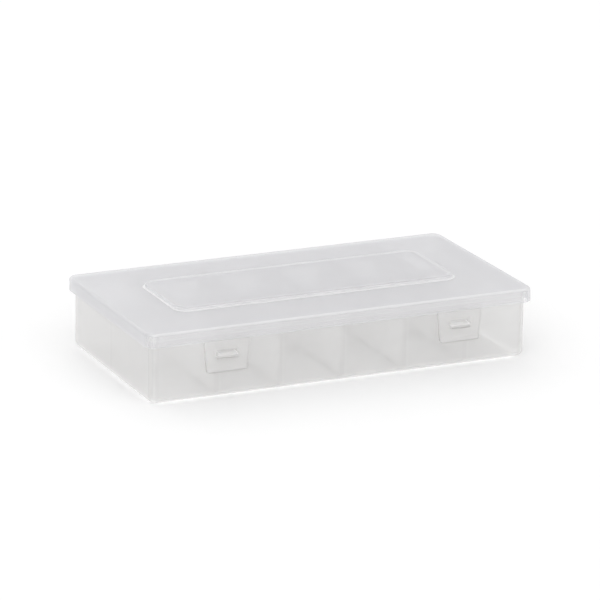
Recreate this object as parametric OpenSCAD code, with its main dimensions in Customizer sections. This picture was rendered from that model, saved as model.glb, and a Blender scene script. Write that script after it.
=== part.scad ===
// Flat organizer box of frosted plastic: a tray split into two rows of compartments
// under one hinged lid, held shut by two flap latches at the front.
// Frame: millimetres, origin at the centre of the tray's underside, +Z up,
// length along X, latches at the front (-Y), hinges at the back (+Y).

/* [Box] */
// Length of the closed box, measured over the lid
box_l = 275; // [200:1:360]
// Depth of the closed box over the lid, hinges and catches not counted
box_d = 142; // [100:1:200]
// Height from the underside to the lid's flat top, raised panel not counted
box_h = 48; // [38:1:80]

/* [Tray] */
// Thickness of the tray's walls
wall_t = 1.5; // [1.2:0.1:2.4]
// Thickness of the tray's floor
floor_t = 1.6; // [1.2:0.1:3]
// Radius of the tray's four upright corners
tray_r = 5.5; // [4:0.5:10]
// Radius between the tray's walls and its underside
foot_r = 4; // [1.5:0.5:5]
// How far the lip round the rim stands out from the walls
rim_out = 1.2; // [0.6:0.1:1.5]
// Height of the lip round the rim
rim_h = 4; // [2:0.5:6]

/* [Dividers] */
// Thickness of the upright dividers
divider_t = 1.4; // [1:0.1:2.4]
// How far the dividers stop below the rim
divider_drop = 0.5; // [0.3:0.1:6]

/* [Lid] */
// Thickness of the lid's top and of its skirt
lid_t = 1.5; // [1.2:0.1:2.4]
// Height of the skirt, from the lid's flat top to its lower edge
skirt_h = 9.4; // [7:0.2:14]
// Radius of the lid's four upright corners
lid_r = 6.5; // [5:0.5:12]
// Radius of the rounded edge round the lid's top
lid_edge_r = 2; // [1.8:0.1:4]
// Length of the raised panel
panel_l = 200; // [120:1:250]
// Depth of the raised panel
panel_d = 65.5; // [40:0.5:120]
// Height of the raised panel above the lid's flat top
panel_h = 2.3; // [1:0.1:4]
// Radius of the raised panel's corners in plan
panel_r = 9; // [4:0.5:20]
// Radius of the rounded edge round the raised panel
panel_edge_r = 0.8; // [0.4:0.1:1]

/* [Latches] */
// Distance of each latch and each hinge from the box's middle
latch_x = 83; // [50:1:110]
// Width of a latch flap at its hinge
latch_w = 32; // [24:0.5:44]
// Width of a latch flap at its lower edge
latch_low_w = 28.5; // [22:0.5:44]
// Length of a latch flap below its hinge line
latch_h = 20.6; // [17:0.2:26]
// Thickness of a latch flap
latch_t = 1.6; // [1.2:0.1:2]
// Radius of the latch flap's two lower corners
latch_r = 1.5; // [0.5:0.1:4]
// How far the finger edge of a flap bends outward
flare_out = 1.2; // [0.2:0.1:3]
// Height of the finger edge that bends outward
flare_h = 3; // [1:0.2:6]
// Radius of the bead along a latch's hinge line
bead_r = 0.4; // [0.3:0.05:0.6]
// Width of the catch on the tray
catch_w = 14.3; // [10:0.1:18]
// Height of the catch at its tip
catch_h = 2.8; // [2:0.1:4]
// Height by which the catch is taller at the wall than at its tip
catch_slope = 0.7; // [0.2:0.1:1.4]
// How far the catch stands out beyond the latch's face
catch_out = 2.1; // [1:0.1:3]
// Distance of the catch's underside below the latch's hinge line
catch_drop = 11.2; // [9:0.1:14]
// Height of the window in a latch flap
window_h = 6.3; // [5:0.1:7.5]
// Radius of the window's corners
window_r = 1.5; // [0.4:0.1:2]

/* [Hinges] */
// Radius of a hinge pin
pin_r = 1; // [0.8:0.1:1.5]
// Outside radius of the hinge barrels
barrel_r = 2.6; // [2.2:0.1:3.5]
// Width of the lid's knuckle in each hinge
knuckle_w = 12; // [6:0.5:24]
// Thickness of each of the tray's two hinge ears
ear_t = 4; // [2:0.5:8]
// Height of the web that carries the knuckle up the back of the skirt
web_h = 6; // [3:0.2:6.5]
// How far the rib under each ear runs down the tray's back wall
rib_h = 6; // [2:0.5:10]

/* [Fits] */
// Space between the skirt's inside and the tray's rim lip
skirt_gap = 0.7; // [0.6:0.05:1.2]
// Space between the rim and the lid's underside
rim_gap = 0.3; // [0.2:0.05:0.6]
// Radial clearance of anything that turns in a bore or groove
run_fit = 0.08; // [0.03:0.01:0.1]
// Radial clearance of a pin pressed in an ear
press_fit = 0.02; // [0:0.005:0.03]
// Space left beside and below parts that move past each other
side_gap = 0.3; // [0.25:0.05:0.6]
// Play between a catch and the latch's window
catch_play = 0.5; // [0.3:0.05:0.8]

/* [Hidden] */
$fn = 64;
columns = 6;
bite = 0.4;                // depth by which joined shapes run into each other
min_r = 0.3;               // smallest inside radius
half = 1 / 2;
quarter_turn = 90;

// tray
overhang = lid_t + skirt_gap + rim_out;
tray_l = box_l - 2 * overhang;
tray_d = box_d - 2 * overhang;
rim_z = box_h - lid_t - rim_gap;
inner_l = tray_l - 2 * wall_t;
inner_d = tray_d - 2 * wall_t;
inner_r = tray_r - wall_t;
inner_foot_r = max(foot_r - wall_t, min_r);
divider_z = rim_z - divider_drop;
pitch = (inner_l + divider_t) / columns;

// lid
skirt_z = box_h - skirt_h;
lid_under_z = box_h - lid_t;
inner_edge_r = max(lid_edge_r - lid_t, min_r);
panel_in = 2 * lid_t;

// latches: the hinge line runs just under the skirt's front edge
face_y = -box_d / 2;
bead_y = face_y + bead_r;
bead_z = skirt_z - side_gap / 2;
groove_r = bead_r + run_fit;
catch_z = bead_z - catch_drop;
bar_z = catch_z - catch_play;
window_w = catch_w + 2 * catch_play;
latch_low_z = bead_z - latch_h;
latch_lean = atan((latch_w - latch_low_w) / 2 / latch_h);

// hinges
hinge_y = box_d / 2 + barrel_r + 2 * side_gap;
hinge_z = skirt_z - barrel_r - 3 * side_gap;
ear_x = knuckle_w / 2 + side_gap;
pin_l = 2 * (ear_x + ear_t);

FRONT = [for (i = [1 : columns - 1]) str("divider_front_", i)];
REAR = [for (i = [1 : columns - 1]) str("divider_rear_", i)];

// Section from a pan's corner centre out to its wall, its lower edge rounded.
module edge_section(h, corner_r, edge_r) {
    translate([0, edge_r]) square([corner_r, h - edge_r]);
    square([corner_r - edge_r, h]);
    intersection() {
        translate([corner_r - edge_r, edge_r]) circle(r = edge_r);
        square([corner_r, h]);
    }
}

// Solid block standing on z = 0 with rounded upright corners and a rounded lower edge.
module pan(l, d, h, corner_r, edge_r) {
    flat_l = l - 2 * corner_r;
    flat_d = d - 2 * corner_r;
    translate([-flat_l / 2, -flat_d / 2, 0]) cube([flat_l, flat_d, h]);
    for (k = [0 : 3]) {
        odd = k % 2;
        along = odd ? flat_l : flat_d;
        out = odd ? flat_d / 2 : flat_l / 2;
        rotate(k * quarter_turn) translate([out, along / 2, 0]) {
            rotate([quarter_turn, 0, 0]) linear_extrude(along)
                edge_section(h, corner_r, edge_r);
            rotate_extrude(angle = quarter_turn) edge_section(h, corner_r, edge_r);
        }
    }
}

// The same block turned over: its rounded edge is on top, at z = top.
module cover(l, d, h, corner_r, edge_r, top) {
    translate([0, 0, top]) mirror([0, 0, 1]) pan(l, d, h, corner_r, edge_r);
}

// Outline drawn in the Y-Z plane, pushed out along X and centred on x.
module along_x(x, w) {
    translate([x - w / 2, 0, 0])
        rotate([quarter_turn, 0, quarter_turn]) linear_extrude(w) children();
}

// Outline drawn in the X-Z plane, pushed from y0 to y1.
module along_y(y0, y1) {
    translate([0, y1, 0]) rotate([quarter_turn, 0, 0]) linear_extrude(y1 - y0) children();
}

// Rectangle centred on x = 0 with its lower side at z and its corners rounded.
module round_rect(w, z, h, r) {
    translate([-w / 2, z + r]) square([w, h - 2 * r]);
    translate([-w / 2 + r, z]) square([w - 2 * r, h]);
    for (s = [-1, 1], t = [r, h - r]) translate([s * (w / 2 - r), z + t]) circle(r = r);
}

// ---- tray ----

module tray_hollow() {
    translate([0, 0, floor_t]) pan(inner_l, inner_d, rim_z, inner_r, inner_foot_r);
}

// One catch on the tray's front wall.
module catch_block(x) {
    front = face_y - catch_out;
    root = -tray_d / 2 + bite;
    wall = -tray_d / 2;
    tall = catch_h + catch_slope;
    intersection() {
        along_x(x, catch_w) polygon([
            [front, catch_z], [root, catch_z], [root, catch_z + tall],
            [wall, catch_z + tall], [front, catch_z + catch_h]]);
        translate([x, 0, 0]) along_y(front, root)
            round_rect(catch_w, catch_z, tall, tall * half - min_r / 2);
    }
}

// One pair of ears for a hinge pin, with a rib down the back wall.
module ears(x) {
    wall = tray_d / 2;
    top = hinge_z + barrel_r;
    low = hinge_z - barrel_r;
    for (s = [-1, 1]) along_x(x + s * (ear_x + ear_t / 2), ear_t) {
        translate([hinge_y, hinge_z]) circle(r = barrel_r);
        polygon([
            [wall - bite, top], [hinge_y, top], [hinge_y, low],
            [wall, low - rib_h], [wall - bite, low - rib_h]]);
    }
}

module tray() {
    color([0.86, 0.86, 0.86])
    difference() {
        union() {
            pan(tray_l, tray_d, rim_z, tray_r, foot_r);
            translate([0, 0, rim_z - rim_h]) pan(
                tray_l + 2 * rim_out, tray_d + 2 * rim_out, rim_h,
                tray_r + rim_out, rim_out);
            for (s = [-1, 1]) {
                catch_block(s * latch_x);
                ears(s * latch_x);
            }
        }
        tray_hollow();
        along_x(0, box_l) translate([hinge_y, hinge_z]) circle(r = pin_r + press_fit);
    }
}

// ---- dividers ----

module divider_long() {
    color([0.8, 0.8, 0.8])
    intersection() {
        tray_hollow();
        translate([-box_l / 2, -divider_t / 2, 0]) cube([box_l, divider_t, divider_z]);
    }
}

// The i-th cross divider of one row; side is -1 for the front row, 1 for the rear row.
module divider_cross(i, side) {
    x = -inner_l / 2 + i * pitch - divider_t;
    y = side > 0 ? divider_t / 2 : -box_d / 2;
    color([0.8, 0.8, 0.8])
    intersection() {
        tray_hollow();
        translate([x, y, 0]) cube([divider_t, box_d / 2 - divider_t / 2, divider_z]);
    }
}

// ---- hinge pins ----

module hinge_pin(x) {
    color([0.75, 0.75, 0.75])
    along_x(x, pin_l) translate([hinge_y, hinge_z]) circle(r = pin_r);
}

// ---- lid ----

// One knuckle on the back of the skirt.
module knuckle(x) {
    back = box_d / 2;
    along_x(x, knuckle_w) {
        translate([hinge_y, hinge_z]) circle(r = barrel_r);
        polygon([
            [back - bite, skirt_z], [hinge_y - barrel_r, hinge_z],
            [hinge_y + barrel_r, hinge_z], [hinge_y + barrel_r, hinge_z + barrel_r],
            [back, skirt_z + web_h], [back - bite, skirt_z + web_h]]);
    }
}

// Groove and relief in the skirt's lower edge that one latch's bead turns in.
module latch_groove(x) {
    along_x(x, latch_w + 2 * side_gap) {
        translate([bead_y, bead_z]) circle(r = groove_r);
        translate([face_y - bite, bead_z]) square([bead_y - face_y + bite, groove_r]);
    }
}

module lid() {
    color([0.9, 0.9, 0.92])
    difference() {
        union() {
            cover(box_l, box_d, skirt_h, lid_r, lid_edge_r, box_h);
            cover(panel_l, panel_d, panel_h + bite, panel_r, panel_edge_r, box_h + panel_h);
            for (s = [-1, 1]) knuckle(s * latch_x);
        }
        cover(
            box_l - 2 * lid_t, box_d - 2 * lid_t, skirt_h, lid_r - lid_t,
            inner_edge_r, lid_under_z);
        cover(
            panel_l - panel_in, panel_d - panel_in, panel_h + bite,
            panel_r - lid_t, min_r, lid_under_z + panel_h);
        along_x(0, box_l) translate([hinge_y, hinge_z]) circle(r = pin_r + run_fit);
        for (s = [-1, 1]) latch_groove(s * latch_x);
    }
}

// ---- latches ----

// Front view of a flap: narrower at the bottom, with rounded lower corners.
module latch_outline() {
    low = latch_low_w / 2;
    tangent = latch_r * tan((quarter_turn - latch_lean) / 2);
    edge_x = low + tangent * sin(latch_lean);
    edge_z = tangent * cos(latch_lean);
    translate([0, latch_low_z]) {
        polygon([
            [-latch_w / 2, latch_h], [-edge_x, edge_z], [tangent - low, 0],
            [low - tangent, 0], [edge_x, edge_z], [latch_w / 2, latch_h]]);
        for (s = [-1, 1]) translate([s * (low - tangent), latch_r]) circle(r = latch_r);
    }
}

// Side view of a flap: a flat plate whose lower edge bends outward.
module latch_side() {
    top = bead_z - side_gap / 2;
    bend = latch_low_z + flare_h;
    polygon([
        [face_y, top], [face_y, bend], [face_y - flare_out, latch_low_z],
        [face_y - flare_out + latch_t, latch_low_z], [face_y + latch_t, bend],
        [face_y + latch_t, top]]);
}

module latch(x) {
    color([0.9, 0.9, 0.92]) {
        difference() {
            intersection() {
                along_x(x, latch_w) latch_side();
                translate([x, 0, 0]) along_y(face_y - flare_out, face_y + latch_t)
                    latch_outline();
            }
            translate([x, 0, 0]) along_y(face_y - bite, face_y + latch_t + bite)
                round_rect(window_w, bar_z, window_h, window_r);
        }
        along_x(x, latch_w) translate([bead_y, bead_z]) circle(r = bead_r);
    }
}

// ---- nodes ----

tray();
divider_long();
for (i = [1 : columns - 1]) {
    divider_cross(i, -1);
    divider_cross(i, 1);
}
hinge_pin(-latch_x);  // hinge_pin_left
hinge_pin(latch_x);  // hinge_pin_right
lid();
latch(-latch_x);  // latch_left
latch(latch_x);  // latch_right
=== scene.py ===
import math

import bmesh
import bpy
from mathutils import Matrix, Vector


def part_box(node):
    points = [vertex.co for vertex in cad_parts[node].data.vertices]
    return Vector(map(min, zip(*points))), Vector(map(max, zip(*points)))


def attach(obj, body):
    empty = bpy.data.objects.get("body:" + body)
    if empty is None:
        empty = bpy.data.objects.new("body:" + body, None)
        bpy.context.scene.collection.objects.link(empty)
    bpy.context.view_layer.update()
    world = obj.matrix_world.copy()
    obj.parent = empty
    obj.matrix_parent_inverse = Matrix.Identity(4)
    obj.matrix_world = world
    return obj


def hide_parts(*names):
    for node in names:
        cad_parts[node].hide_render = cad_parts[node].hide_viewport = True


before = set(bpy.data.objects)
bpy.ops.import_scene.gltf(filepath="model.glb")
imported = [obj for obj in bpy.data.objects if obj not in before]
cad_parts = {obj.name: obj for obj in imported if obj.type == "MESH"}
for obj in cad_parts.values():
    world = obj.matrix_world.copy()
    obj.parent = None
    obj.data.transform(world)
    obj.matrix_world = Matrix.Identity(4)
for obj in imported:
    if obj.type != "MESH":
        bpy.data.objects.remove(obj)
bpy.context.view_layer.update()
scene = bpy.context.scene
MM = 0.001


# ---- Tray ----
# One moulding of frosted polypropylene: floor, four walls, a lip round the rim, two
# catches on the front wall and two pairs of hinge ears on the back wall. The melt leaves
# faint clouds in it, and the mould leaves a satin skin.

tray_low, tray_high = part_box("tray")
RIM_OUT, RIM_H, RIM_EASE = 1.2 * MM, 4 * MM, 0.35 * MM
WALL, FLOOR = 1.5 * MM, 1.6 * MM
FOOT_R, CORNER_R = 4 * MM, 5.5 * MM
RIM_Z = tray_high[2]
LIP_Z = RIM_Z - RIM_H
TRAY_L = tray_high[0] - tray_low[0] - 2 * RIM_OUT
TRAY_D = 135.2 * MM
LATCH_X = 83 * MM
CATCH_Z, CATCH_H, CATCH_W, CATCH_R = 27.25 * MM, 2.8 * MM, 14.3 * MM, 1.3 * MM
CATCH_TIP_Y, CATCH_SLOPE = -73.1 * MM, 0.7 * MM
HINGE_Y, HINGE_Z = 74.2 * MM, 35.1 * MM
RIB_T = 1.4 * MM
COLUMNS = 6
INNER_L, INNER_D = TRAY_L - 2 * WALL, TRAY_D - 2 * WALL
PITCH = (INNER_L + RIB_T) / COLUMNS
PIN_R, PIN_PRESS, BARREL_R = 1 * MM, 0.02 * MM, 2.6 * MM
EAR_X, EAR_T, EAR_RIB = 6.3 * MM, 4 * MM, 6 * MM
SINK = 0.4 * MM  # how far a joined part reaches into the wall behind it
NEAR = 0.05 * MM  # points closer than this lie on the same line or wall
SMALLEST_R = 0.02 * MM
HALF_HOLE = 0.12  # a cut that goes past both hinges
CORNER_STEPS = 14
ROUND = (0, 345, 23)  # a closed circle's angles and steps
# the lines down the tray's corners are painted shade beside a painted highlight
PAINTED_CORNER_LINES = 0.18  # strength of the thin lines down the tray's corners
# painted highlight on the outside from the foot up, and on the inside going down
FOOT_MARKS = [0.3, 0.4, 0.4, 0.4, 0.3, 0.2, 0.1, 0.05, 0.0, 0.0]
# RIM_MARK is the painted highlight round the rim
RIM_MARK = 0.4
CRADLE_MARKS = [0.0, 0.1, 0.25, 0.35, 0.35, 0.25, 0.1, 0.0]
# across a rib, seen from outside: millimetres from its middle and the painted shade (below 0) or
# painted highlight there
PAINTED_RIB_LINE = ((-1.8, 0), (-0.9, -0.17), (0.9, -0.17), (1.7, 0.1), (2.8, 0.1), (3.8, 0))


def corner_loop(l, d, r, z):
    """Points round a rectangle with rounded corners, the same number whatever its size."""
    r = min(max(r, SMALLEST_R), l / 2, d / 2)
    points = []
    for k, (sx, sy) in enumerate(((1, 1), (-1, 1), (-1, -1), (1, -1))):
        cx, cy = sx * (l / 2 - r), sy * (d / 2 - r)
        for i in range(CORNER_STEPS + 1):
            a = math.pi / 2 * (k + i / CORNER_STEPS)
            points.append((cx + r * math.cos(a), cy + r * math.sin(a), z))
    return points


def fillet(l, d, r, z, size, start, stop, steps):
    """Loops along a quarter round between a wall and a flat: l, d, r and z are those of
    the sharp corner, size is the round's radius, start and stop are its angles."""
    loops = []
    zc = z - size if math.sin(math.radians(start + stop) / 2) > 0 else z + size
    for i in range(steps + 1):
        a = math.radians(start + (stop - start) * i / steps)
        grow = size * (math.cos(a) - 1)
        loops.append((l + 2 * grow, d + 2 * grow, r + grow, zc + size * math.sin(a)))
    return loops


def lofted(name, loops, brights, corner=0.0):
    """A closed shell through the loops, capped at both ends. brights is each loop's painted
    highlight (below 0: its painted shade), or gives it for its right, back, left and front
    sides apart, and is kept on the mesh as 'edge'; corner is the strength of the painted
    shade and painted highlight lines down each corner."""
    bm = bmesh.new()
    layer = bm.verts.layers.float.new("edge")
    rings = []
    for (l, d, r, z), bright in zip(loops, brights):
        ring = [bm.verts.new(p) for p in corner_loop(l, d, r, z)]
        sides = bright if isinstance(bright, tuple) else (bright,) * 4
        for i, v in enumerate(ring):
            turn, t = i // (CORNER_STEPS + 1), i % (CORNER_STEPS + 1) / CORNER_STEPS
            turned = math.sin(math.pi / 2 * t) ** 2
            line = -math.sin(4 * math.pi * min(t, 1 - t))
            v[layer] = (sides[turn] * (1 - turned) + sides[(turn + 1) % 4] * turned
                        + corner * line)
        rings.append(ring)
    for a, b in zip(rings, rings[1:]):
        for i in range(len(a)):
            j = (i + 1) % len(a)
            bm.faces.new((a[i], a[j], b[j], b[i]))
    bm.faces.new(list(reversed(rings[0])))
    bm.faces.new(rings[-1])
    return finished(name, bm)


def finished(name, bm, merge=0.0001 * MM):
    """The bmesh as an object in the scene, doubles merged and faces pointing outwards."""
    bmesh.ops.remove_doubles(bm, verts=bm.verts, dist=merge)
    bmesh.ops.recalc_face_normals(bm, faces=bm.faces)
    mesh = bpy.data.meshes.new(name)
    bm.to_mesh(mesh)
    bm.free()
    obj = bpy.data.objects.new(name, mesh)
    scene.collection.objects.link(obj)
    return obj


def sliced(bm, point, normal):
    """Adds edges where a plane crosses the mesh."""
    bmesh.ops.bisect_plane(bm, geom=bm.verts[:] + bm.edges[:] + bm.faces[:],
                           plane_co=point, plane_no=normal)


def outline_block(name, points, start, stop, axis):
    """A closed outline pushed out along one axis: points are (y, z) for axis x and
    (x, z) for axis y."""
    bm = bmesh.new()
    sides = []
    for t in (start, stop):
        place = {"x": lambda p: (t, p[0], p[1]), "y": lambda p: (p[0], t, p[1])}[axis]
        sides.append([bm.verts.new(place(p)) for p in points])
    n = len(points)
    for i in range(n):
        bm.faces.new((sides[0][i], sides[0][(i + 1) % n], sides[1][(i + 1) % n], sides[1][i]))
    bm.faces.new(list(reversed(sides[0])))
    bm.faces.new(sides[1])
    return finished(name, bm)


def arc(cy, cz, r, start, stop, steps):
    """Points along an arc, angles in degrees."""
    turns = (math.radians(start + (stop - start) * i / steps) for i in range(steps + 1))
    return [(cy + r * math.cos(a), cz + r * math.sin(a)) for a in turns]


def apply_all(obj):
    """Turns the object with its modifiers into a plain mesh."""
    shape = obj.evaluated_get(bpy.context.evaluated_depsgraph_get())
    mesh = bpy.data.meshes.new_from_object(shape)
    obj.modifiers.clear()
    old, obj.data = obj.data, mesh
    bpy.data.meshes.remove(old)
    return obj


def softened(obj, width, segments, angle):
    """Rounds the object's sharp edges, as a mould's are."""
    bevel = obj.modifiers.new("round", "BEVEL")
    bevel.width, bevel.segments = width, segments
    bevel.limit_method, bevel.angle_limit = "ANGLE", math.radians(angle)
    bevel.harden_normals = False
    return apply_all(obj)


def combined(obj, others, how="UNION"):
    """Joins the others to the object, or cuts them from it, and removes them."""
    for other in others:
        step = obj.modifiers.new("join", "BOOLEAN")
        step.operation, step.object, step.solver = how, other, "EXACT"
        apply_all(obj)
        bpy.data.objects.remove(other)
    return obj


def smoothed(obj, angle=38):
    """Smooth shading that stops at edges sharper than the angle and keeps flats flat."""
    mesh = obj.data
    mesh.polygons.foreach_set("use_smooth", [True] * len(mesh.polygons))
    mesh.set_sharp_from_angle(angle=math.radians(angle))
    even = obj.modifiers.new("even", "WEIGHTED_NORMAL")
    even.mode, even.weight, even.keep_sharp = "FACE_AREA", 100, True
    return apply_all(obj)


class Signal:
    """A shader socket that adds its Math nodes when it is used in an expression."""

    def __init__(self, finish, socket):
        self.finish, self.socket = finish, socket

    def maths(self, operation, a, b):
        return self.finish.add("ShaderNodeMath", {"operation": operation}, {0: a, 1: b})[0]

    def __add__(self, other): return self.maths("ADD", self, other)
    def __radd__(self, other): return self.maths("ADD", other, self)
    def __sub__(self, other): return self.maths("SUBTRACT", self, other)
    def __rsub__(self, other): return self.maths("SUBTRACT", other, self)
    def __mul__(self, other): return self.maths("MULTIPLY", self, other)
    def __rmul__(self, other): return self.maths("MULTIPLY", other, self)


class Finish:
    """A material or world being built: add() makes any node from its type, settings and
    inputs."""

    def __init__(self, owner):
        self.owner = owner
        owner.use_nodes = True
        self.tree = owner.node_tree
        self.tree.nodes.clear()

    def add(self, kind, settings={}, inputs={}):
        node = self.tree.nodes.new(kind)
        for key, value in settings.items():
            if key == "stops":
                ramp = node.color_ramp.elements
                while len(ramp) < len(value):
                    ramp.new(0.5)
                for stop, (at, colour) in zip(ramp, value):
                    stop.position, stop.color = at, colour
            else:
                setattr(node, key, value)
        for key, value in inputs.items():
            if isinstance(value, Signal):
                self.tree.links.new(value.socket, node.inputs[key])
            else:
                node.inputs[key].default_value = value
        return Outputs(self, node)

    def mix(self, factor, first, second):
        return self.add("ShaderNodeMix", {"data_type": "RGBA"},
                        {0: factor, 6: first, 7: second})[2]

    def end(self, surface, output="ShaderNodeOutputMaterial"):
        self.add(output, {}, {"Surface": surface})
        return self.owner


class Outputs:
    """A node's outputs as signals, by name or number."""

    def __init__(self, finish, node):
        self.finish, self.node = finish, node

    def __getitem__(self, key):
        return Signal(self.finish, self.node.outputs[key])


# colours of the painted highlight and the painted shade that the 'edge' marks put on the plastic
PAINTED_LIGHT_COLOUR, PAINTED_SHADE_COLOUR = (0.99, 0.99, 0.985, 1), (0.42, 0.41, 0.40, 1)
CLOUDS, SCUFFS, MOTTLES, PORES = 28, 90, 420, 3200  # how many to a metre
PORE_DEPTH, SCUFF_DEPTH = 0.04 * MM, 0.12
PLASTIC_IOR, GLOSS = 1.49, 0.35
# SHADE_GLOW, LIT_GLOW and EDGE_COVER make marks of painted shade and painted highlight take less
# light from behind and show less through
GLOW_THROUGH = 0.42  # the share of the body's light that comes from its other side,
SHADE_GLOW, LIT_GLOW = 0.3, 0.35  # and how much less of it dark and light edges have
EDGE_COVER = 0.9  # how much of what shows through goes at an edge
CLOUD_HAZE = 0.06  # how much the clouds change what shows through
MOST_CLEAR = 0.95
TRAY_PALE, TRAY_DEEP, TRAY_SEE = (0.98, 0.975, 0.97), (0.96, 0.955, 0.95), 0.67


def frosted(name, pale, deep, see, veil=0.8, rough=0.36, grain=0.5, flow=(1, 1, 1), seed=0.0):
    """Frosted polypropylene. pale and deep are the colours where it is thin and thick,
    see is how much shows through each skin seen squarely, veil is how much of that goes
    when it is seen flat, grain is the depth of its satin texture, and flow stretches
    the clouds the way the melt ran."""
    f = Finish(bpy.data.materials.new(name))
    place = f.add("ShaderNodeTexCoord")["Object"]
    run = f.add("ShaderNodeMapping", {}, {"Vector": place, "Scale": flow,
                                          "Location": (seed, seed / 2, 0)})["Vector"]
    cloud, mottle, pores, scuff = (
        f.add("ShaderNodeTexNoise", {}, {"Vector": vector, "Scale": scale, "Detail": detail,
                                         "Roughness": fineness})["Fac"]
        for vector, scale, detail, fineness in (
            (run, CLOUDS, 3, 0.55), (place, MOTTLES, 2, 0.5), (place, PORES, 2, 0.6),
            (run, SCUFFS, 6, 0.7)))
    # the 'edge' marks are painted light: above 0 a painted highlight, below 0 painted shade
    edge = f.add("ShaderNodeAttribute", {"attribute_name": "edge"})["Fac"]
    lit = f.add("ShaderNodeClamp", {}, {"Value": edge})["Result"]
    shade = f.add("ShaderNodeClamp", {}, {"Value": edge * -1.0})["Result"]
    colour = f.mix(cloud * 0.7 + mottle * 0.3, (*pale, 1), (*deep, 1))
    colour = f.mix(shade, f.mix(lit, colour, PAINTED_LIGHT_COLOUR), PAINTED_SHADE_COLOUR)
    bumps = f.add("ShaderNodeBump", {}, {
        "Height": pores + mottle * 0.25, "Strength": grain,
        "Distance": PORE_DEPTH})["Normal"]
    plastic = f.add("ShaderNodeBsdfPrincipled", {}, {
        "Base Color": colour, "Roughness": scuff * SCUFF_DEPTH + (rough - SCUFF_DEPTH / 2),
        "Normal": bumps, "IOR": PLASTIC_IOR, "Specular IOR Level": GLOSS})["BSDF"]
    glow = f.add("ShaderNodeBsdfTranslucent", {}, {"Color": (*pale, 1), "Normal": bumps})["BSDF"]
    # marks of painted shade or highlight take less light through from the other side
    body = f.add("ShaderNodeMixShader", {}, {
        0: GLOW_THROUGH - shade * SHADE_GLOW - lit * LIT_GLOW, 1: plastic, 2: glow})["Shader"]
    clear = f.add("ShaderNodeBsdfTransparent", {}, {"Color": (1, 1, 1, 1)})["BSDF"]
    facing = f.add("ShaderNodeLayerWeight", {}, {"Blend": 0.5})["Facing"]
    show = see - facing * facing * (see * veil) - edge * edge * (see * EDGE_COVER)
    show = show - (cloud - 0.5) * CLOUD_HAZE
    show = f.add("ShaderNodeClamp", {}, {"Value": show, "Min": 0.0,
                                           "Max": MOST_CLEAR})["Result"]
    return f.end(f.add("ShaderNodeMixShader", {}, {0: show, 1: body, 2: clear})["Shader"])


def dress(obj, material, body, slot, *nodes):
    """Gives a finished piece its material and its CAD body, and hides the CAD nodes it stands
    for; slot is not used.
    """
    obj.data.materials.clear()
    obj.data.materials.append(material)
    obj.data.polygons.foreach_set("material_index", [0] * len(obj.data.polygons))
    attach(obj, body)
    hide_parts(*nodes)
    return obj


def tray_shell():
    """The tray's skin: loops from the middle of the underside, up the outside, over the
    rim and down the inside to the middle of the floor."""
    inner_r, middle = CORNER_R - WALL, 30 * MM
    lip_l, lip_d, lip_r = TRAY_L + 2 * RIM_OUT, TRAY_D + 2 * RIM_OUT, CORNER_R + RIM_OUT
    loops = [(TRAY_L - middle, TRAY_D - middle, 1 * MM, 0)]
    loops += fillet(TRAY_L, TRAY_D, CORNER_R, 0, FOOT_R, -90, 0, 9)
    # bright holds each loop's painted highlight
    bright = [0.0] + FOOT_MARKS
    loops += [(TRAY_L, TRAY_D, CORNER_R, LIP_Z - 6 * MM), (TRAY_L, TRAY_D, CORNER_R, LIP_Z)]
    bright += [0, 0.3]
    loops += fillet(lip_l, lip_d, lip_r, LIP_Z, RIM_EASE, -90, 0, 3)
    loops += fillet(lip_l, lip_d, lip_r, RIM_Z, RIM_EASE, 0, 90, 3)
    bright += [RIM_MARK] * 8
    for i in range(4):
        a = math.radians(90 * i / 3)
        grow = RIM_EASE * (1 - math.sin(a))
        loops.append((INNER_L + 2 * grow, INNER_D + 2 * grow, inner_r + grow,
                      RIM_Z - RIM_EASE * (1 - math.cos(a))))
        bright.append(RIM_MARK)
    loops += [(INNER_L, INNER_D, inner_r, LIP_Z), (INNER_L, INNER_D, inner_r, 10 * MM)]
    bright += [0, 0]
    loops += list(reversed(fillet(INNER_L, INNER_D, inner_r, FLOOR, FOOT_R - WALL, -90, 0, 7)))
    loops.append((INNER_L - middle, INNER_D - middle, 1 * MM, FLOOR))
    bright += CRADLE_MARKS + [0.0]
    return lofted("tray_moulding", loops, bright, PAINTED_CORNER_LINES)


def catch(x):
    """The catch a latch snaps over: a rounded bar whose top slopes down from the wall."""
    wall, tip = -TRAY_D / 2 + SINK, CATCH_TIP_Y
    w, h, r = CATCH_W / 2, CATCH_H, CATCH_R
    points = []
    for cx, cz, start in ((w - r, CATCH_Z + h - r, 0), (r - w, CATCH_Z + h - r, 90),
                          (r - w, CATCH_Z + r, 180), (w - r, CATCH_Z + r, 270)):
        points += [(x + px, pz) for px, pz in arc(cx, cz, r, start, start + 90, 6)]
    obj = outline_block("catch", points, tip, wall, "y")
    for v in obj.data.vertices:
        lift = (v.co.y - tip) / (wall - tip)
        if v.co.z > CATCH_Z + h / 2:
            v.co.z += CATCH_SLOPE * lift
    return softened(obj, 0.45 * MM, 3, 50)


def ear(x0):
    """One hinge ear with its rib, before the pin's hole is cut."""
    back, low = TRAY_D / 2, HINGE_Z - BARREL_R
    points = [(back - SINK, HINGE_Z + BARREL_R)]
    points += [(back - SINK, low - EAR_RIB), (back, low - EAR_RIB)]
    points += arc(HINGE_Y, HINGE_Z, BARREL_R, -90, 90, 18)
    return softened(outline_block("ear", points, x0, x0 + EAR_T, "x"), 0.3 * MM, 2, 50)


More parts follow.
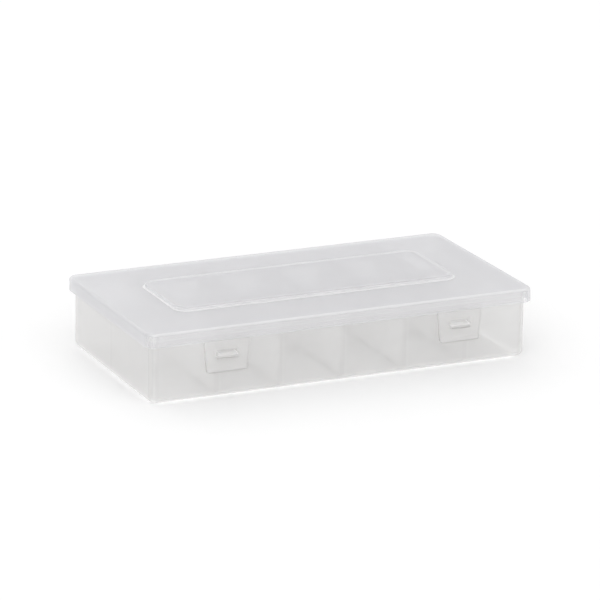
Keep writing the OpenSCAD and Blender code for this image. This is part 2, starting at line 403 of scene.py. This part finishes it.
def painted_rib_lines(obj):
    """Paints thin lines on the walls where the ribs behind them meet them: painted shade over
    each joint, with a painted highlight beside it."""
    ribs = [-INNER_L / 2 + PITCH * i - RIB_T / 2 for i in range(1, COLUMNS)]
    bm = bmesh.new()
    bm.from_mesh(obj.data)
    layer = bm.verts.layers.float["edge"]
    for offset, _ in PAINTED_RIB_LINE:
        for x in ribs:
            sliced(bm, (x + offset * MM, 0, 0), (1, 0, 0))
        sliced(bm, (0, offset * MM, 0), (0, 1, 0))
    for v in bm.verts:
        if not FOOT_R - 0.1 * MM < v.co.z < LIP_Z - 5 * MM:
            continue
        places = [v.co.x - x for x in ribs if abs(abs(v.co.y) - TRAY_D / 2) < NEAR]
        places += [v.co.y] if abs(abs(v.co.x) - TRAY_L / 2) < NEAR else []
        for place in places:
            for offset, bright in PAINTED_RIB_LINE:
                if abs(place - offset * MM) < NEAR:
                    v[layer] = bright
    bm.to_mesh(obj.data)
    bm.free()
    return obj


tray = tray_shell()
parts = [catch(-LATCH_X), catch(LATCH_X)]
for x in (-LATCH_X, LATCH_X):
    parts += [ear(x - EAR_X - EAR_T), ear(x + EAR_X)]
combined(tray, parts)
hole = arc(HINGE_Y, HINGE_Z, PIN_R + PIN_PRESS, *ROUND)
combined(tray, [outline_block("hole", hole, -HALF_HOLE, HALF_HOLE, "x")], "DIFFERENCE")
# painted shadow on the catches' undersides and a painted highlight on their tops
marks = tray.data.attributes["edge"].data
for v in tray.data.vertices:
    if v.co.y < -TRAY_D / 2 - 0.2 * MM and v.co.z < LIP_Z - 2 * MM:
        rise = (v.co.z - CATCH_Z) / CATCH_H
        marks[v.index].value = -0.9 if rise < 0.2 else 0.6 if rise > 0.7 else 0.1
smoothed(painted_rib_lines(tray))
tray_plastic = frosted("frosted tray plastic", TRAY_PALE, TRAY_DEEP, TRAY_SEE,
                       flow=(0.5, 0.8, 1.0))
dress(tray, tray_plastic, "base", "tray_plastic", "tray")


# ---- Long divider ----
# A thin upright rib moulded with the tray, from end to end halfway back. Its top edge
# stops half a millimetre under the rim and is rounded by the mould.

RIB_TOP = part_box("divider_long")[1][2]
RIB_FOOT_R = FOOT_R - WALL
SEAT = 0.02 * MM
RIB_SOFT = (0.3 * MM, 3, 60)  # how softened() rounds a rib
# bands and strengths of a rib's painted highlight along its top and painted shade at its foot
# and ends
TOP_BAND, FOOT_BAND, END_BAND = 0.45 * MM, 0.9 * MM, 1.2 * MM
TOP_HIGHLIGHT, FOOT_MARK, END_SHADE = 0.5, -0.45, -0.5
RIB_PALE, RIB_DEEP, RIB_SEE = (0.985, 0.98, 0.975), (0.965, 0.96, 0.955), 0.71


def long_rib_bar():
    """The long rib, both ends rounded at the foot to clear the tray's inner round."""
    length, low = INNER_L - 2 * SEAT, FLOOR + SEAT
    ends = arc(RIB_FOOT_R, low + RIB_FOOT_R, RIB_FOOT_R, 180, 270, 6)
    side = ends + [(length - y, z) for y, z in reversed(ends)]
    top = [(length, RIB_TOP), (0, RIB_TOP)]
    obj = outline_block("long_divider", side + top, -RIB_T / 2, RIB_T / 2, "x")
    softened(obj, *RIB_SOFT)
    obj.data.transform(Matrix.Rotation(-math.pi / 2, 4, "Z"))
    obj.data.transform(Matrix.Translation((-INNER_L / 2 + SEAT, 0, 0)))
    return obj


def new_marks(obj, values):
    """Writes one mark for each point of the mesh."""
    layer = obj.data.attributes.get("edge") or obj.data.attributes.new("edge", "FLOAT", "POINT")
    layer.data.foreach_set("value", values)
    return obj


def marked(obj, ends=math.inf):
    """Paints a rib: a painted highlight along its top edge, painted shade at its foot and,
    where ends says how far out along Y they are, at its ends."""
    values = []
    for v in obj.data.vertices:
        if v.co.z > RIB_TOP - TOP_BAND:
            values.append(TOP_HIGHLIGHT)
        elif ends - abs(v.co.y) < END_BAND:
            values.append(END_SHADE)
        else:
            values.append(FOOT_MARK if v.co.z < FLOOR + FOOT_BAND else 0.0)
    return new_marks(obj, values)


long_rib = smoothed(marked(long_rib_bar()))
rib_plastic = frosted("frosted divider plastic", RIB_PALE, RIB_DEEP, RIB_SEE,
                      flow=(1.0, 1.0, 0.5), seed=3.0)
dress(long_rib, rib_plastic, "base", "divider_plastic", "divider_long")


# ---- Cross dividers ----
# Ten ribs of the same moulding, five on each side of the long one, at one even pitch.
# They are laid out by a Geometry Nodes tree, as a mould maker repeats one cavity.

HALF_D = (INNER_D - RIB_T) / 2


def rib_row_tree():
    """Front and rear ribs repeated along X: Count, Pitch, First and Material are inputs."""
    tree = bpy.data.node_groups.new("rib row", "GeometryNodeTree")
    face = tree.interface
    face.new_socket("Rib", in_out="INPUT", socket_type="NodeSocketGeometry")
    for label, kind, value in (("Count", "NodeSocketInt", COLUMNS - 1),
                               ("Pitch", "NodeSocketFloat", PITCH),
                               ("First", "NodeSocketFloat", 0.0)):
        face.new_socket(label, in_out="INPUT", socket_type=kind).default_value = value
    face.new_socket("Material", in_out="INPUT", socket_type="NodeSocketMaterial")
    face.new_socket("Ribs", in_out="OUTPUT", socket_type="NodeSocketGeometry")
    nodes, links = tree.nodes, tree.links
    given, result = nodes.new("NodeGroupInput"), nodes.new("NodeGroupOutput")
    line = nodes.new("GeometryNodeMeshLine")
    step, first = nodes.new("ShaderNodeCombineXYZ"), nodes.new("ShaderNodeCombineXYZ")
    links.new(given.outputs["Pitch"], step.inputs["X"])
    links.new(given.outputs["First"], first.inputs["X"])
    links.new(given.outputs["Count"], line.inputs["Count"])
    links.new(first.outputs[0], line.inputs["Start Location"])
    links.new(step.outputs[0], line.inputs["Offset"])
    place = nodes.new("GeometryNodeInstanceOnPoints")
    links.new(line.outputs["Mesh"], place.inputs["Points"])
    links.new(given.outputs["Rib"], place.inputs["Instance"])
    real, paint = nodes.new("GeometryNodeRealizeInstances"), nodes.new("GeometryNodeSetMaterial")
    links.new(place.outputs["Instances"], real.inputs["Geometry"])
    links.new(real.outputs["Geometry"], paint.inputs["Geometry"])
    links.new(given.outputs["Material"], paint.inputs["Material"])
    links.new(paint.outputs["Geometry"], result.inputs["Ribs"])
    return tree


def rib_pair():
    """One front and one rear rib, facing the long divider with their square ends."""
    bm = bmesh.new()
    for side in (-1, 1):
        start = RIB_T / 2 + SEAT
        stop = start + HALF_D - 2 * SEAT
        foot = arc(side * (stop - RIB_FOOT_R), FLOOR + SEAT + RIB_FOOT_R, RIB_FOOT_R,
                   -90, 0 if side > 0 else -180, 6)
        side_view = [(side * start, RIB_TOP), (side * start, FLOOR + SEAT)] + foot
        side_view += [(side * stop, RIB_TOP)]
        half = softened(outline_block("half", side_view, -RIB_T / 2, RIB_T / 2, "x"),
                        *RIB_SOFT)
        bm.from_mesh(half.data)
        bpy.data.objects.remove(half)
    # cuts that keep the painted shade near the ribs' ends and feet narrow
    for in_from_end in (3 * MM, 0.3 * MM):
        for side in (-1, 1):
            sliced(bm, (0, side * (HALF_D - in_from_end), 0), (0, 1, 0))
    for above_floor in (0.8 * MM, 2.2 * MM):
        sliced(bm, (0, 0, FLOOR + above_floor), (0, 0, 1))
    return finished("cross_dividers", bm, 1e-6 * MM)


tree = rib_row_tree()
cross = marked(rib_pair(), RIB_T / 2 + HALF_D)
rows = cross.modifiers.new("rows", "NODES")
rows.node_group = tree
socket = {item.name: item.identifier for item in tree.interface.items_tree}
rows[socket["Count"]] = COLUMNS - 1
rows[socket["Pitch"]] = PITCH
rows[socket["First"]] = -INNER_L / 2 + PITCH - RIB_T / 2
rows[socket["Material"]] = rib_plastic
smoothed(apply_all(cross))
dress(cross, rib_plastic, "base", "divider_plastic",
      *[f"divider_{row}_{i}" for row in ("front", "rear") for i in range(1, COLUMNS)])


# ---- Hinge pins ----
# Two short rods of stiff plastic, pushed through the tray's ears and the lid's knuckle
# from the side. Their ends are slightly domed and flush with the ears.

PIN_DOME = ((0, 0.6), (0.1 * MM, 0.88), (0.3 * MM, 1))  # from the end: how far, how thick
PIN_PALE, PIN_DEEP, PIN_SEE = (0.88, 0.88, 0.87), (0.78, 0.78, 0.77), 0.30


def pin(side):
    """A rod lathed along X, from one domed end to the other."""
    low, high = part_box("hinge_pin_" + side)
    bm = bmesh.new()
    loops = []
    rings = [(low[0] + x, r) for x, r in PIN_DOME]
    rings += [(high[0] - x, r) for x, r in reversed(PIN_DOME)]
    for x, r in rings:
        loops.append([bm.verts.new((x, y, z)) for y, z in
                      arc(HINGE_Y, HINGE_Z, PIN_R * r, *ROUND)])
    for a, b in zip(loops, loops[1:]):
        for i in range(len(a)):
            j = (i + 1) % len(a)
            bm.faces.new((a[i], a[j], b[j], b[i]))
    bm.faces.new(loops[0])
    bm.faces.new(loops[-1])
    return smoothed(finished("rod_" + side, bm))


pin_plastic = frosted("hinge pin plastic", PIN_PALE, PIN_DEEP, PIN_SEE,
                      rough=0.3, grain=0.25, seed=5.0)
for side in ("left", "right"):
    dress(pin(side), pin_plastic, "base", "pin_plastic", "hinge_pin_" + side)


# ---- Lid ----
# One moulding of slightly bluer frosted plastic: a flat top with a rounded edge, a skirt
# that goes down over the rim, a raised panel in the middle and two hinge knuckles.

BOX_L, BOX_D, BOX_H = 275 * MM, 142 * MM, 48 * MM
LID_T, SKIRT_H, LID_R, LID_EDGE = 1.5 * MM, 9.4 * MM, 6.5 * MM, 2 * MM
PANEL_L, PANEL_D, PANEL_H, PANEL_R = 200 * MM, 65.5 * MM, 2.3 * MM, 9 * MM
PANEL_EDGE, PANEL_ROOT, SKIRT_EASE = 0.8 * MM, 0.5 * MM, 0.3 * MM
KNUCKLE_W, KNUCKLE_WEB, PIN_RUN = 12 * MM, 6 * MM, 0.08 * MM
SKIRT_Z = BOX_H - SKIRT_H
BEAD_R, BEAD_Y, BEAD_Z = 0.4 * MM, -70.6 * MM, 38.45 * MM
GROOVE_R, GROOVE_OUT, GROOVE_HALF = BEAD_R + 0.08 * MM, 0.8 * MM, 16.3 * MM
# painted highlight on the panel's top edge and root and on the lid's edge, whose right and back
# sides get painted shade instead
CREST = (0.4, 0.5, 0.1, 0.1)
PANEL_MARKS = [CREST, CREST, 0.3, 0.4, 0.45, 0.55]
ROOT_MARKS = [0.65, 0.75, 0.8, 0.8, 0.8]
EDGE_MARKS = [0.1, 0.4, 0.65, 0.7, 0.7, 0.7, 0.6, 0.4, 0.1]
EDGE_SIDES = (-0.5, -0.5, 0.35, 1)  # right, back, left, front
LID_PALE, LID_DEEP, LID_SEE = (0.915, 0.915, 0.94), (0.875, 0.875, 0.90), 0.80


def lid_shell():
    """The lid's skin: loops from the middle of the raised panel down the outside to the
    skirt's edge, and back up the inside."""
    loops, bright = [], []

    def go(new, values):
        loops.extend(new)
        bright.extend(values)

    def ring(size, grow, z, mark):
        l, d, r = size
        go([(l + 2 * grow, d + 2 * grow, r + grow, z)], [mark])

    box, panel = (BOX_L, BOX_D, LID_R), (PANEL_L, PANEL_D, PANEL_R)
    inside, hollow = ([size - 2 * LID_T for size in shape[:2]] + [shape[2] - LID_T]
                      for shape in (box, panel))
    top, under, hollow_top = BOX_H + PANEL_H, BOX_H - LID_T, BOX_H + PANEL_H - LID_T
    # each loop's mark is its painted highlight, below 0 its painted shade, as in the inside
    # corner under the top
    go([(PANEL_L - 24 * MM, PANEL_D - 24 * MM, 3 * MM, top)], [0])
    for grow, mark in ((-4.5 * MM, 0), (-3 * MM, CREST), (-1.3 * MM, CREST)):
        ring(panel, grow, top, mark)
    go(list(reversed(fillet(*panel, top, PANEL_EDGE, 0, 90, 5))), PANEL_MARKS)
    for i, mark in enumerate(ROOT_MARKS):
        a = math.radians(90 * i / 4)
        ring(panel, PANEL_ROOT * (1 - math.cos(a)), BOX_H + PANEL_ROOT * (1 - math.sin(a)), mark)
    for shape, grow, mark in ((panel, 1.3 * MM, 0.65), (panel, 2 * MM, 0), (box, -2.5 * MM, 0)):
        ring(shape, grow, BOX_H, mark)
    go(list(reversed(fillet(*box, BOX_H, LID_EDGE, 0, 90, 8))),
       [tuple(side * mark for side in EDGE_SIDES) for mark in EDGE_MARKS])
    ring(box, 0, SKIRT_Z + 3 * MM, 0)
    go(list(reversed(fillet(*box, SKIRT_Z, SKIRT_EASE, -90, 0, 3))), [0.3] * 4)
    ring(inside, 0, SKIRT_Z, 0.3)
    ring(inside, 0, SKIRT_Z + 3 * MM, 0)
    go(fillet(*inside, under, 0.6 * MM, 0, 90, 4), [-0.2, -0.4, -0.4, -0.4, -0.2])
    ring(inside, -1.5 * MM, under, 0)
    ring(hollow, 3 * MM, under, 0)
    for i in range(5):
        a = math.radians(90 * i / 4)
        ring(hollow, PANEL_ROOT * (1 - math.sin(a)), under + PANEL_ROOT * (1 - math.cos(a)), 0.5)
    go(fillet(*hollow, hollow_top, 0.3 * MM, 0, 90, 3), [0.4, 0.6, 0.6, 0.6])
    ring(hollow, -1 * MM, hollow_top, 0.5)
    ring(hollow, -2 * MM, hollow_top, 0)
    go([(hollow[0] - 22 * MM, hollow[1] - 22 * MM, 2 * MM, hollow_top)], [0])
    return lofted("lid_moulding", loops, bright)


def knuckle(x):
    """The knuckle that turns on a hinge pin, with the web that joins it to the skirt."""
    back = BOX_D / 2
    points = [(back - SINK, SKIRT_Z), (back - SINK, SKIRT_Z + KNUCKLE_WEB),
              (back, SKIRT_Z + KNUCKLE_WEB), (HINGE_Y + BARREL_R, HINGE_Z + BARREL_R)]
    points += arc(HINGE_Y, HINGE_Z, BARREL_R, 0, -180, 22)
    return softened(outline_block("knuckle", points, x - KNUCKLE_W / 2, x + KNUCKLE_W / 2, "x"),
                    0.3 * MM, 2, 50)


lid = combined(lid_shell(), [knuckle(-LATCH_X), knuckle(LATCH_X)])
hole = arc(HINGE_Y, HINGE_Z, PIN_R + PIN_RUN, *ROUND)
cuts = [outline_block("hole", hole, -HALF_HOLE, HALF_HOLE, "x")]
for x in (-LATCH_X, LATCH_X):
    groove = arc(BEAD_Y, BEAD_Z, GROOVE_R, 90, -180, 20)
    groove += [(BEAD_Y - GROOVE_OUT, BEAD_Z), (BEAD_Y - GROOVE_OUT, BEAD_Z + GROOVE_R)]
    cuts.append(outline_block("groove", groove, x - GROOVE_HALF, x + GROOVE_HALF, "x"))
combined(lid, cuts, "DIFFERENCE")
smoothed(lid)
lid_plastic = frosted("frosted lid plastic", LID_PALE, LID_DEEP, LID_SEE,
                      veil=0.92, rough=0.34, flow=(0.6, 0.6, 1.0), seed=7.0)
dress(lid, lid_plastic, "lid", "lid_plastic", "lid")


# ---- Latch flaps ----
# A flap hangs from the skirt, here on a thin round bead that turns in a groove, and has
# a window that goes over the catch. Its lower edge bends outwards for a fingertip.

LATCH_W, LATCH_LOW_W, LATCH_H, LATCH_T = 32 * MM, 28.5 * MM, 20.6 * MM, 1.6 * MM
LATCH_R, LATCH_SOFT, LATCH_DROP = 1.5 * MM, 0.22 * MM, 0.15 * MM
CATCH_PLAY = 0.5 * MM
WINDOW_W, WINDOW_H, WINDOW_Z = CATCH_W + 2 * CATCH_PLAY, 6.3 * MM, CATCH_Z - CATCH_PLAY
FACE_Y = -BOX_D / 2
FLARE_OUT, FLARE_H, FLARE_BEND, FLARE_CUTS = 1.2 * MM, 3 * MM, 1.4, 9
# RIM_LINE is the width of the painted shadow round the flap's outline
RIM_LINE = 0.3 * MM  # the flap's dark outline
LATCH_PALE, LATCH_DEEP, LATCH_SEE = (0.92, 0.915, 0.91), (0.88, 0.875, 0.87), 0.66


def loop_spline(curve, points):
    spline = curve.splines.new("POLY")
    spline.points.add(len(points) - 1)
    for p, (x, z) in zip(spline.points, points):
        p.co = (x, z, 0, 1)
    spline.use_cyclic_u = True


def latch(side):
    """The flat flap from its outline, bent at its lower edge, with the hinge bead."""
    low_z = BEAD_Z - LATCH_H
    top = BEAD_Z - LATCH_DROP
    r = LATCH_R
    lo, hi = LATCH_LOW_W / 2, LATCH_W / 2
    outline = [(hi, top), (-hi, top)]
    outline += arc(r - lo, low_z + r, r, 180, 270, 8) + arc(lo - r, low_z + r, r, 270, 360, 8)
    window = []
    w, z0, z1 = WINDOW_W / 2 - r, WINDOW_Z + r, WINDOW_Z + WINDOW_H - r
    for cx, cz, start in ((w, z1, 0), (-w, z1, 90), (-w, z0, 180), (w, z0, 270)):
        window += arc(cx, cz, r, start, start + 90, 6)
    curve = bpy.data.curves.new("flap", "CURVE")
    curve.dimensions, curve.fill_mode = "2D", "BOTH"
    loop_spline(curve, outline)
    loop_spline(curve, window)
    curve.extrude = LATCH_T / 2 - LATCH_SOFT
    curve.bevel_depth, curve.bevel_resolution, curve.offset = LATCH_SOFT, 2, -LATCH_SOFT
    flat = bpy.data.objects.new("flap", curve)
    scene.collection.objects.link(flat)
    mesh = bpy.data.meshes.new_from_object(
        flat.evaluated_get(bpy.context.evaluated_depsgraph_get()))
    bpy.data.objects.remove(flat)
    mesh.transform(Matrix(((1, 0, 0, 0), (0, 0, -1, FACE_Y + LATCH_T / 2), (0, 1, 0, 0),
                           (0, 0, 0, 1))))
    bm = bmesh.new()
    bm.from_mesh(mesh)
    for i in range(FLARE_CUTS):
        sliced(bm, (0, 0, low_z + FLARE_H * 1.25 * i / (FLARE_CUTS - 1)), (0, 0, 1))
    lean = (hi - lo) / LATCH_H
    # cuts that keep the painted shadow of the outline narrow
    for inset in (0.25 * MM, 0.9 * MM):
        sliced(bm, (lo - inset, 0, low_z), (1, 0, -lean))
        sliced(bm, (inset - lo, 0, low_z), (1, 0, lean))
        sliced(bm, (0, 0, low_z + inset), (0, 0, 1))
    for v in bm.verts:
        drop = max(0.0, low_z + FLARE_H - v.co.z) / FLARE_H
        v.co.y -= FLARE_OUT * drop ** FLARE_BEND
    obj = finished("flap_" + side, bm)
    bead = outline_block("bead", arc(BEAD_Y, BEAD_Z, BEAD_R, *ROUND), -hi, hi, "x")
    combined(obj, [bead])
    # a painted shadow round the flap's outline, darkest at the bottom
    values = []
    for v in obj.data.vertices:
        rise = (v.co.z - low_z) / LATCH_H
        inside = min(lo + (hi - lo) * rise - abs(v.co.x), v.co.z - low_z)
        values.append(0.6 * rise - 0.8 if inside < RIM_LINE else 0.0)
    new_marks(obj, values)
    shift = LATCH_X if side == "right" else -LATCH_X
    obj.data.transform(Matrix.Translation((shift, 0, 0)))
    return smoothed(obj)


latch_plastic = frosted("frosted latch plastic", LATCH_PALE, LATCH_DEEP, LATCH_SEE,
                        rough=0.34, seed=11.0)
for side in ("left", "right"):
    dress(latch(side), latch_plastic, "latch_" + side, "latch_plastic", "latch_" + side)


# ---- Table, light and camera ----
# A table of white paper in a white room, a weak broad lamp high behind, a stronger and
# still softer one low in front, and a long lens looking down from the front left.

ROOM = 0.95
LIFT, PAINTED_GLEAM, GLEAM_W = 0.25, 0.46, 7 * MM
PAPER = (0.86, 0.86, 0.86, 1)
SHADOW_REACH = 0.15
TABLE_HALF, TABLE_DROP = 6, 0.05 * MM


def looked_at(f):
    """1 for rays that show the background: the camera's, mirrored ones and those that
    pass through something clear, but not light spread inside a frosted wall."""
    path = f.add("ShaderNodeLightPath")
    clear = path["Is Transmission Ray"] * (1.0 - path["Is Diffuse Ray"])
    return clear.maths("MAXIMUM", path["Is Camera Ray"] + path["Is Glossy Ray"], clear)


def white_table():
    """White paper, with a thin painted gleam of light round the box's foot."""
    f = Finish(bpy.data.materials.new("white table"))
    place = f.add("ShaderNodeSeparateXYZ", {},
                  {"Vector": f.add("ShaderNodeTexCoord")["Object"]})
    beyond = []
    for axis, side in (("X", TRAY_L), ("Y", TRAY_D)):
        out = place[axis].maths("ABSOLUTE", place[axis], 0.0) - (side / 2 - FOOT_R - CORNER_R)
        beyond.append(out.maths("MAXIMUM", out, 0.0))
    far = beyond[0] * beyond[0] + beyond[1] * beyond[1]
    far = far.maths("SQRT", far, 0.0) - CORNER_R
    outside = far.maths("GREATER_THAN", far, 0.0)
    far = far.maths("ABSOLUTE", far, 0.0)
    near = f.add("ShaderNodeMapRange", {}, {"Value": far, "From Min": GLEAM_W, "From Max": 0.0,
                                            "To Min": 0.0, "To Max": 1.0})["Result"]
    # the lift fades close to things, a painted shadow on the table
    open_sky = f.add("ShaderNodeAmbientOcclusion", {"samples": 8},
                     {"Distance": SHADOW_REACH})["AO"]
    paper = f.add("ShaderNodeBsdfDiffuse", {}, {"Color": PAPER})["BSDF"]
    lift = f.add("ShaderNodeEmission", {}, {
        "Color": looked_at(f) * outside * open_sky * LIFT + near * near * PAINTED_GLEAM,
        "Strength": 1.0})["Emission"]
    return f.end(f.add("ShaderNodeAddShader", {}, {0: paper, 1: lift})["Shader"])


bm = bmesh.new()
bmesh.ops.create_grid(bm, x_segments=8, y_segments=8, size=TABLE_HALF)
table = finished("table", bm)
table.data.transform(Matrix.Translation((0, 0, -TABLE_DROP)))
table.data.materials.append(white_table())


def sky_lamp(name, toward, softness, strength, colour):
    """A soft lamp so far off that it lights the whole table evenly."""
    data = bpy.data.lights.new(name, "SUN")
    data.energy, data.angle, data.color = strength, math.radians(softness), colour
    obj = bpy.data.objects.new(name, data)
    obj.rotation_mode = "QUATERNION"
    obj.rotation_quaternion = (-Vector(toward)).to_track_quat("-Z", "Y")
    scene.collection.objects.link(obj)


sky_lamp("soft box behind", (0.1, 0.75, 0.65), 50, 0.30, (1, 0.995, 0.985))
sky_lamp("soft box in front", (-0.15, -0.9, 0.35), 100, 0.86, (0.99, 0.995, 1))

# the room is white to look at; its light is strongest from low in front and behind, and
# weakest from overhead and from the right
room = Finish(bpy.data.worlds.new("white room"))
way = room.add("ShaderNodeSeparateXYZ", {},
               {"Vector": room.add("ShaderNodeTexCoord")["Generated"]})
east, height = way["X"], way["Z"]
seen = looked_at(room)
glow = (1.06 - height * height * 0.35 - east * east * 0.45 - east * 0.22) * ROOM
light = room.add("ShaderNodeBackground", {}, {
    "Color": seen + (1.0 - seen) * glow, "Strength": 1.0})["Background"]
scene.world = room.end(light, "ShaderNodeOutputWorld")

# the photograph's camera, solved from the box's outline: 600 pixels across
IMAGE_PX, SENSOR_W = 600, 36
FOCAL_PX, DISTANCE = 3722.88, 2463.78 * MM
YAW, PITCH_DOWN, ROLL = math.radians(24.963), math.radians(17.294), math.radians(0.908)
AIM = Vector((0.51 * MM, 0, 35.017 * MM))
forward = Vector((math.sin(YAW) * math.cos(PITCH_DOWN), math.cos(YAW) * math.cos(PITCH_DOWN),
                  -math.sin(PITCH_DOWN)))
right = forward.cross(Vector((0, 0, 1))).normalized()
up = right.cross(forward)
across = right * math.cos(ROLL) + up * math.sin(ROLL)
upward = up * math.cos(ROLL) - right * math.sin(ROLL)
camera = bpy.data.objects.new("camera", bpy.data.cameras.new("camera"))
scene.collection.objects.link(camera)
camera.matrix_world = Matrix.Translation(AIM - forward * DISTANCE) @ Matrix(
    (across, upward, -forward)).transposed().to_4x4()
camera.data.sensor_width = SENSOR_W
camera.data.lens = FOCAL_PX / IMAGE_PX * SENSOR_W
camera.data.clip_end = 100
scene.camera = camera

scene.view_settings.view_transform = "Standard"
scene.cycles.transparent_max_bounces = 48
scene.cycles.max_bounces = 16
